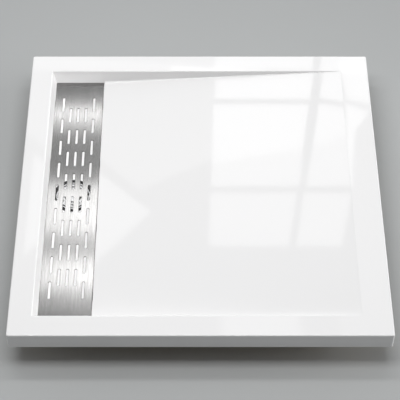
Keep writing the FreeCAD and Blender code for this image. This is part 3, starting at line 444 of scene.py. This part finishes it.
def turned(profile, steps, shape=None):
    """Points and faces of a profile of (radius, height) pairs turned about Z.

    Shape, if given, returns radius and height for an angle and a profile point. A radius of
    zero at either end closes the surface there.
    """
    points, rows = [], []
    for radius, height in profile:
        if radius == 0:
            rows.append([len(points)] * steps)
            points.append((0.0, 0.0, height))
            continue
        rows.append(list(range(len(points), len(points) + steps)))
        for step in range(steps):
            angle = 2 * math.pi * step / steps
            r, z = shape(angle, radius, height) if shape else (radius, height)
            points.append((r * math.cos(angle), r * math.sin(angle), z))
    return points, strips(rows)


def strips(rows):
    """Faces between closed rows of point numbers, each row on the outside of the one below."""
    faces = []
    steps = len(rows[0])
    for low, high in zip(rows, rows[1:]):
        for step in range(steps):
            after = (step + 1) % steps
            corners = (low[step], low[after], high[after], high[step])
            face = tuple(dict.fromkeys(corners))
            if len(face) > 2:
                faces.append(face)
    return faces


def placed(shape, place, turn=0.0, flip=False):
    """A copy of points and faces, turned about Z, perhaps upside down, and moved."""
    points, faces = shape
    cos, sin = math.cos(turn), math.sin(turn)
    up = -1 if flip else 1
    moved = [(place[0] + cos * x - sin * y * up, place[1] + sin * x + cos * y * up,
              place[2] + z * up) for x, y, z in points]
    return moved, faces


def joined(shapes):
    points, faces = [], []
    for more, sides in shapes:
        start = len(points)
        points += more
        faces += [tuple(start + corner for corner in face) for face in sides]
    return points, faces


def level_corners(low_x, low_y, high_x, high_y, z):
    """The corners of a level rectangle."""
    return [(low_x, low_y, z), (high_x, low_y, z), (high_x, high_y, z), (low_x, high_y, z)]


def linked(name, data):
    """A new object in the scene."""
    thing = bpy.data.objects.new(name, data)
    bpy.context.scene.collection.objects.link(thing)
    return thing


def meshed(name, points, faces):
    """A new mesh object in the scene."""
    mesh = bpy.data.meshes.new(name)
    mesh.from_pydata(points, [], faces)
    return linked(name, mesh)


def piece(name, shape, material, body, *nodes):
    """A visible piece that rides on a body and stands for CAD nodes."""
    thing = meshed(name, *shape)
    mesh = thing.data
    mesh.materials.append(material)
    mesh.shade_smooth()
    mesh.set_sharp_from_angle(angle=SMOOTH_ANGLE)
    mesh.update()
    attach(thing, body)
    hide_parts(*nodes)
    return thing


def thread_shape(root, crest, pitch, low, high, steps=36, rows_per_turn=8, tip=0.0):
    """A threaded shank from low to high whose ends run out to the root.

    Tip, if not zero, is the length over which the upper end tapers to a point.
    """
    count = max(2, round((high - low) / pitch * rows_per_turn))
    flank, root_flat, bluntness = 2.6, 0.15, 0.15

    def wind(angle, _, z):
        share = (z / pitch - angle / (2 * math.pi)) % 1.0
        tooth = min(1.0, max(0.0, flank * (0.5 - abs(share - 0.5)) - root_flat))
        fade = min(1.0, (z - low) / pitch, (high - z) / pitch)
        radius = root + (crest - root) * tooth * max(0.0, fade)
        taper = 1.0 if tip == 0 else min(1.0, bluntness + (high - z) / tip)
        return radius * taper, z

    profile = [(0, low)] + [(crest, low + (high - low) * n / count) for n in range(count + 1)]
    return turned(profile + [(0, high)], steps, wind)


def hexagon_shape(across, low, high, bore, steps=72):
    """A hexagon with chamfered corners, tips along X, and a bore unless it is zero."""
    edge = across / 2
    chamfer_start = edge * 0.97
    slope = math.tan(math.radians(30))

    def cornered(angle, radius, z):
        if radius < chamfer_start * 1.001:
            return radius, z
        tip = edge / math.cos(angle % (math.pi / 3) - math.pi / 6)
        drop = (tip - chamfer_start) * slope
        return tip, z + drop if z < (low + high) / 2 else z - drop

    outer = [(chamfer_start, low), (edge, low), (edge, high), (chamfer_start, high)]
    if bore:
        mouth, sink = bore * 1.1, 0.1 * bore
        profile = [(bore, low + sink), (mouth, low), *outer,
                   (mouth, high), (bore, high - sink), (bore, low + sink)]
    else:
        profile = [(0, low), *outer, (0, high)]
    return turned(profile, steps, cornered)


def domed_head(radius, height, rings=10, steps=48):
    """A screw head with a short upright side and a round top, on z = 0."""
    side_share = 0.3
    profile = [(0, 0), (radius * 0.97, 0), (radius, height * 0.12)]
    for n in range(rings):
        angle = math.pi / 2 * n / rings
        share = side_share + (1 - side_share) * math.sin(angle)
        profile.append((radius * math.cos(angle), height * share))
    return turned(profile + [(0, height)], steps)


def driver_bit(arm, width, low, high):
    """Two crossed blades that narrow downwards, in the shape of a cross recess."""
    narrow, thin = 0.45, 0.7
    corners = (level_corners(-arm * narrow, -width * thin, arm * narrow, width * thin, low)
               + level_corners(-arm, -width, arm, width, high))
    sides = [(3, 2, 1, 0), (4, 5, 6, 7), (0, 1, 5, 4), (1, 2, 6, 5), (2, 3, 7, 6), (3, 0, 4, 7)]
    return joined(placed((corners, sides), (0, 0, 0), turn) for turn in (0, math.pi / 2))


def cross_head(radius, height):
    """A domed screw head with a cross recess, on z = 0."""
    depth = height * 0.75
    head = meshed("head", *domed_head(radius, height))
    driver = meshed("driver", *driver_bit(radius * 0.62, radius * 0.17, height - depth,
                                          height * 1.2))
    recess = head.modifiers.new("recess", "BOOLEAN")
    recess.object = driver
    recess.operation = "DIFFERENCE"
    recess.use_self = True
    made = bpy.data.meshes.new_from_object(
        head.evaluated_get(bpy.context.evaluated_depsgraph_get()))
    shape = ([tuple(v.co) for v in made.vertices], [tuple(f.vertices) for f in made.polygons])
    if not any(abs(z - height + depth) < depth * 0.01 for _, _, z in shape[0]):
        raise RuntimeError("the screw head has no recess")
    leftovers = [head.data, driver.data, made]
    for thing in (head, driver):
        bpy.data.objects.remove(thing)
    for mesh in leftovers:
        bpy.data.meshes.remove(mesh)
    return shape


# ---------------------------------------------------------------- operators

class SHOWERTRAY_OT_tray(bpy.types.Operator):
    """Finish the shell, its resin backing and the base board"""

    bl_idname = "showertray.tray"
    bl_label = "Tray"

    def execute(self, context):
        dress(acrylic(settings(context)), "tray_shell")
        dress(cast_resin(), "resin_core")
        dress(particle_board(), "base_board")
        return {"FINISHED"}


class SHOWERTRAY_OT_grate(bpy.types.Operator):
    """Finish the slotted grate and its pads"""

    bl_idname = "showertray.grate"
    bl_label = "Grate"

    def execute(self, context):
        cover = NODES["grate_cover"]
        low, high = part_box("grate_cover")
        dress(brushed_steel(settings(context), (low.x + high.x) / 2), "grate_cover")
        plain = cover.modifiers.new("flat_faces", "DECIMATE")
        plain.decimate_type = "DISSOLVE"
        plain.angle_limit = FLAT_ANGLE
        lip = cover.modifiers.new("slot_lips", "BEVEL")
        lip.width = SLOT_LIP
        lip.segments = SLOT_LIP_STEPS
        lip.limit_method = "ANGLE"
        lip.angle_limit = SLOT_LIP_ANGLE
        lip.harden_normals = True
        # Light passes through the grate, so that the channel under it stays white.
        cover.visible_shadow = cover.visible_diffuse = False
        dress(rubber(), "grate_pads", "flange_gasket", "trap_gasket", "trap_lid_ring",
              "dip_tube_ring", "outlet_seal")
        return {"FINISHED"}


class SHOWERTRAY_OT_drain(bpy.types.Operator):
    """Finish the drain fitting and the trap"""

    bl_idname = "showertray.drain"
    bl_label = "Drain and trap"

    def execute(self, context):
        dress(polished_steel(), "waste_flange")
        dress(satin_steel(), "hair_strainer")
        dress(moulded("trap_plastic", (0.78, 0.78, 0.76), (0.70, 0.70, 0.68), 0.42),
              "dip_tube", "trap_lid", "trap_cup", "outlet_nut")
        dress(moulded("outlet_plastic", (0.24, 0.25, 0.26), (0.19, 0.195, 0.20), 0.4),
              "outlet_spigot")
        return {"FINISHED"}


def foot_pad_shape(top):
    """A moulded foot pad: rounded rim, hollowed top with radial ribs, and a neck with a socket."""
    radius, neck, shoulder = PAD_RADIUS, PAD_NECK, PAD_SHOULDER
    rib_share, steps_per_rib = 0.14, 12

    def ribbed(angle, r, z):
        turn = angle * PAD_RIBS / (2 * math.pi) % 1.0
        between = min(turn, 1 - turn) > rib_share
        inside = neck * 1.05 < r < radius * 0.87 and z > PAD_HOLLOW
        return r, z - PAD_HOLLOW if between and inside else z

    sole = [(0, 0), (radius * 0.35, 0), (radius * 0.36, 0.7 * MM), (radius * 0.62, 0.7 * MM),
            (radius * 0.63, 0), (radius * 0.93, 0), (radius * 0.98, 0.5 * MM)]
    rim = [(radius, 1.6 * MM), (radius, shoulder - 2.4 * MM),
           (radius * 0.985, shoulder - 1.2 * MM), (radius * 0.95, shoulder - 0.35 * MM)]
    hollow = [(r, shoulder) for r in (radius * 0.9, radius * 0.88, radius * 0.865,
                                      neck * 1.3, neck * 1.06, neck * 1.04)]
    stem = [(neck, shoulder + 0.3 * MM), (neck, top - 0.8 * MM), (neck - 0.8 * MM, top)]
    socket = [(ROD_CREST, top), (ROD_CREST, PAD_SOCKET_FLOOR), (0, PAD_SOCKET_FLOOR)]
    return turned(sole + rim + hollow + stem + socket, steps_per_rib * PAD_RIBS, ribbed)


def foot_place(number):
    """Where a foot's rod stands, on the floor."""
    low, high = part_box(f"foot_rod_{number}")
    return (low.x + high.x) / 2, (low.y + high.y) / 2, 0


class SHOWERTRAY_OT_stand(bpy.types.Operator):
    """Finish the rails and build the chamfered nuts"""

    bl_idname = "showertray.stand"
    bl_label = "Stand"

    def execute(self, context):
        dress(zinc_plate("zinc_steel", (0.58, 0.60, 0.62), (0.46, 0.48, 0.50)),
              "rail_front", "rail_back")
        zinc = screw_zinc()
        places = [foot_place(number) for number in FEET]
        for node in ("foot_nuts", "lock_nuts"):
            low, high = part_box(node)
            nut = hexagon_shape(NUT_ACROSS, 0, high.z - low.z, NUT_BORE)
            rows = [placed(nut, (x, y, low.z)) for x, y, _ in places]
            made = piece(f"{node}_chamfered", joined(rows), zinc, "tray", node)
        return {"FINISHED"}


class SHOWERTRAY_OT_feet(bpy.types.Operator):
    """Build the six threaded rods and their moulded pads"""

    bl_idname = "showertray.feet"
    bl_label = "Feet"

    def execute(self, context):
        zinc = screw_zinc()
        plastic = moulded("foot_plastic", (0.03, 0.03, 0.032), (0.05, 0.05, 0.052), 0.55, 0.00008)
        pitch = settings(context).thread_pitch
        low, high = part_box("foot_rod_1")
        _, pad_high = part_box("foot_pad_1")
        collar_top = pad_high.z + COLLAR_HEIGHT
        thread = thread_shape(ROD_ROOT, ROD_CREST, pitch, collar_top, high.z)
        collar = hexagon_shape(COLLAR_ACROSS, pad_high.z, collar_top, 0)
        stem = turned([(0, low.z), (STEM_END_RADIUS, low.z), (ROD_CREST, low.z + STEM_CHAMFER),
                       (ROD_CREST, pad_high.z), (0, pad_high.z)], 36)
        rod = joined([thread, collar, stem])
        pad = foot_pad_shape(pad_high.z)
        for number in FEET:
            place = foot_place(number)
            body = f"foot_{number}"
            made = piece(f"threaded_rod_{number}", placed(rod, place), zinc, body,
                         f"foot_rod_{number}")
            made = piece(f"ribbed_pad_{number}", placed(pad, place), plastic, body,
                         f"foot_pad_{number}")
        return {"FINISHED"}


def screw_places(node):
    """The X and Y of the middle of each screw of a CAD node."""
    points = np.array([v.co for v in NODES[node].data.vertices])
    groups = []
    for point in points[np.lexsort(points.T)]:
        for group in groups:
            if np.all(np.abs(group[0] - point)[:2] < SCREW_REACH):
                group.append(point)
                break
        else:
            groups.append([point])
    middles = [(np.min(group, 0) + np.max(group, 0)) / 2 for group in groups]
    return [(middle[0], middle[1]) for middle in middles]


class SHOWERTRAY_OT_screws(bpy.types.Operator):
    """Build the screws with their cross recesses and threads"""

    bl_idname = "showertray.screws"
    bl_label = "Screws"

    def execute(self, context):
        zinc = screw_zinc()
        for node, sizes in SCREWS.items():
            low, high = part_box(node)
            height = sizes.head_height
            head_z = low.z + height if sizes.points_up else high.z - height
            head = cross_head(sizes.head_radius, height)
            shank = thread_shape(sizes.root, sizes.crest, sizes.pitch, 0, high.z - low.z - height,
                                 steps=20, rows_per_turn=6, tip=sizes.point)
            screw = joined([head, placed(shank, (0, 0, 0), flip=True)])
            rows = [placed(screw, (x, y, head_z), SCREW_TURN * number, sizes.points_up)
                    for number, (x, y) in enumerate(screw_places(node))]
            made = piece(f"{node}_cross_head", joined(rows), zinc, "tray", node)
        return {"FINISHED"}


# ---------------------------------------------------------------- stage

def lamp(name, radiance):
    """A flat soft lamp of a given radiance, which the camera itself doesn't see."""
    (width, depth), place, towards = LAMPS[name]
    data = bpy.data.lights.new(name, "AREA")
    data.shape = "RECTANGLE"
    data.size, data.size_y = width, depth
    data.energy = radiance * width * depth * math.pi
    thing = linked(name, data)
    thing.location = place
    thing.rotation_euler = (Vector(towards) - Vector(place)).to_track_quat("-Z", "Y").to_euler()
    thing.visible_camera = False
    return thing


def glow(name, corners, radiance, seen_in):
    """A flat lit panel that only shows as a reflection in the given nodes."""
    material = bpy.data.materials.new(name)
    material.use_nodes = True
    nodes, links = material.node_tree.nodes, material.node_tree.links
    nodes.remove(first_of(nodes, "BSDF_PRINCIPLED"))
    light = nodes.new("ShaderNodeEmission")
    light.inputs["Strength"].default_value = radiance
    clear = nodes.new("ShaderNodeBsdfTransparent")
    both = nodes.new("ShaderNodeAddShader")
    links.new(light.outputs["Emission"], both.inputs[0])
    links.new(clear.outputs["BSDF"], both.inputs[1])
    links.new(both.outputs["Shader"], first_of(nodes, "OUTPUT_MATERIAL").inputs["Surface"])
    panel = meshed(name, corners, [tuple(range(len(corners)))])
    panel.data.materials.append(material)
    panel.visible_camera = panel.visible_shadow = panel.visible_diffuse = False
    panel.light_linking.receiver_collection = seen_in


def studio_world():
    """Soft surroundings, dim behind the camera and brightest at the horizon beyond the tray."""
    world = bpy.data.worlds.new("studio")
    world.use_nodes = True
    nodes, links = world.node_tree.nodes, world.node_tree.links
    split = nodes.new("ShaderNodeSeparateXYZ")
    links.new(nodes.new("ShaderNodeTexCoord").outputs["Generated"], split.inputs["Vector"])

    def ramp(source, start, end, low, high):
        node = nodes.new("ShaderNodeMapRange")
        node.interpolation_type = "SMOOTHSTEP"
        for socket, number in (("From Min", start), ("From Max", end),
                               ("To Min", low), ("To Max", high)):
            node.inputs[socket].default_value = number
        links.new(source, node.inputs["Value"])
        return node.outputs["Result"]

    ahead = ramp(split.outputs["Y"], -0.3, 0.3, 0.0, 1.0)
    glow_share = ramp(split.outputs["Z"], 0.45, 0.70, 0.8, 0.18)
    strength = nodes.new("ShaderNodeMath")
    strength.operation = "MULTIPLY_ADD"
    strength.inputs[2].default_value = SKY_LEAST
    links.new(ahead, strength.inputs[0])
    links.new(glow_share, strength.inputs[1])
    background = first_of(nodes, "BACKGROUND")
    background.inputs["Color"].default_value = (*SKY_COLOUR, 1.0)
    links.new(strength.outputs["Value"], background.inputs["Strength"])
    return world


def aim_camera(scene, stage):
    data = bpy.data.cameras.new("camera")
    data.lens = stage.lens
    data.sensor_width = SENSOR_WIDTH
    data.shift_x = CAMERA_SHIFT
    data.clip_end = CAMERA_REACH
    camera = linked("camera", data)
    camera.location = stage.camera_place
    camera.rotation_euler = (math.pi / 2 - stage.camera_pitch, 0, 0)
    scene.camera = camera


def studio_floor(colour):
    finish = Finish("studio_floor", colour, 0.85)
    finish.tint(finish.spread(finish.noise(2.5, 4), 0, 0.35), (0.41, 0.42, 0.42))
    reach = FLOOR_REACH
    floor = meshed("floor", level_corners(-reach, -reach, reach, reach, 0), [(0, 1, 2, 3)])
    floor.data.materials.append(finish.material)


def light_panels(stage):
    """Set up the panels that the shell and the metal mirror."""
    seen_in = {}
    for surface, nodes in MIRRORS.items():
        seen_in[surface] = bpy.data.collections.new(f"lit_{surface}")
        for node in nodes:
            seen_in[surface].objects.link(NODES[node])
    for number, (name, (surface, share, outline)) in enumerate(PANELS.items()):
        y = NEAREST_PANEL + PANEL_STEP * number
        glow(name, [(x, y, z) for x, z in outline], share * stage.window_light, seen_in[surface])
    glow("room_in_front", ROOM_PANEL, stage.room_light, seen_in["metal"])
    low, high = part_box("grate_cover")
    glow("under_grate", level_corners(low.x, low.y, high.x, high.y, low.z - UNDER_GRATE_GAP),
         UNDER_GRATE_SHARE * stage.window_light, seen_in["floor"])


class SHOWERTRAY_OT_stage(bpy.types.Operator):
    """Set up the floor, the lamps and the camera"""

    bl_idname = "showertray.stage"
    bl_label = "Stage"

    def execute(self, context):
        scene = context.scene
        stage = scene.shower_tray_stage
        scene.view_settings.view_transform = "Standard"
        aim_camera(scene, stage)
        studio_floor(settings(context).floor_colour)
        scene.world = studio_world()
        lamp("overhead_front", stage.overhead_light)
        lamp("overhead_back", stage.overhead_light * OVERHEAD_BACK_SHARE)
        lamp("side", stage.side_light).visible_glossy = False
        light_panels(stage)
        return {"FINISHED"}


class SHOWERTRAY_PT_panel(bpy.types.Panel):
    """The tray's pieces and their settings"""

    bl_idname = "SHOWERTRAY_PT_panel"
    bl_label = "Shower tray"
    bl_space_type = "VIEW_3D"
    bl_region_type = "UI"
    bl_category = "Shower tray"

    def draw(self, context):
        for group in (settings(context), context.scene.shower_tray_stage):
            box = self.layout.box()
            for name in group.__annotations__:
                box.prop(group, name)
        for operator in OPERATORS:
            self.layout.operator(operator.bl_idname)


OPERATORS = (SHOWERTRAY_OT_tray, SHOWERTRAY_OT_grate, SHOWERTRAY_OT_drain, SHOWERTRAY_OT_stand,
             SHOWERTRAY_OT_feet, SHOWERTRAY_OT_screws, SHOWERTRAY_OT_stage)
CLASSES = (TraySettings, StageSettings, *OPERATORS, SHOWERTRAY_PT_panel)


def register():
    for item in CLASSES:
        bpy.utils.register_class(item)
    bpy.types.Scene.shower_tray = bpy.props.PointerProperty(type=TraySettings)
    bpy.types.Scene.shower_tray_stage = bpy.props.PointerProperty(type=StageSettings)


def unregister():
    del bpy.types.Scene.shower_tray_stage
    del bpy.types.Scene.shower_tray
    for item in reversed(CLASSES):
        bpy.utils.unregister_class(item)


def main():
    register()
    for make in (bpy.ops.showertray.tray, bpy.ops.showertray.grate, bpy.ops.showertray.drain,
                 bpy.ops.showertray.stand, bpy.ops.showertray.feet, bpy.ops.showertray.screws,
                 bpy.ops.showertray.stage):
        make()


if __name__ == "__main__":
    main()
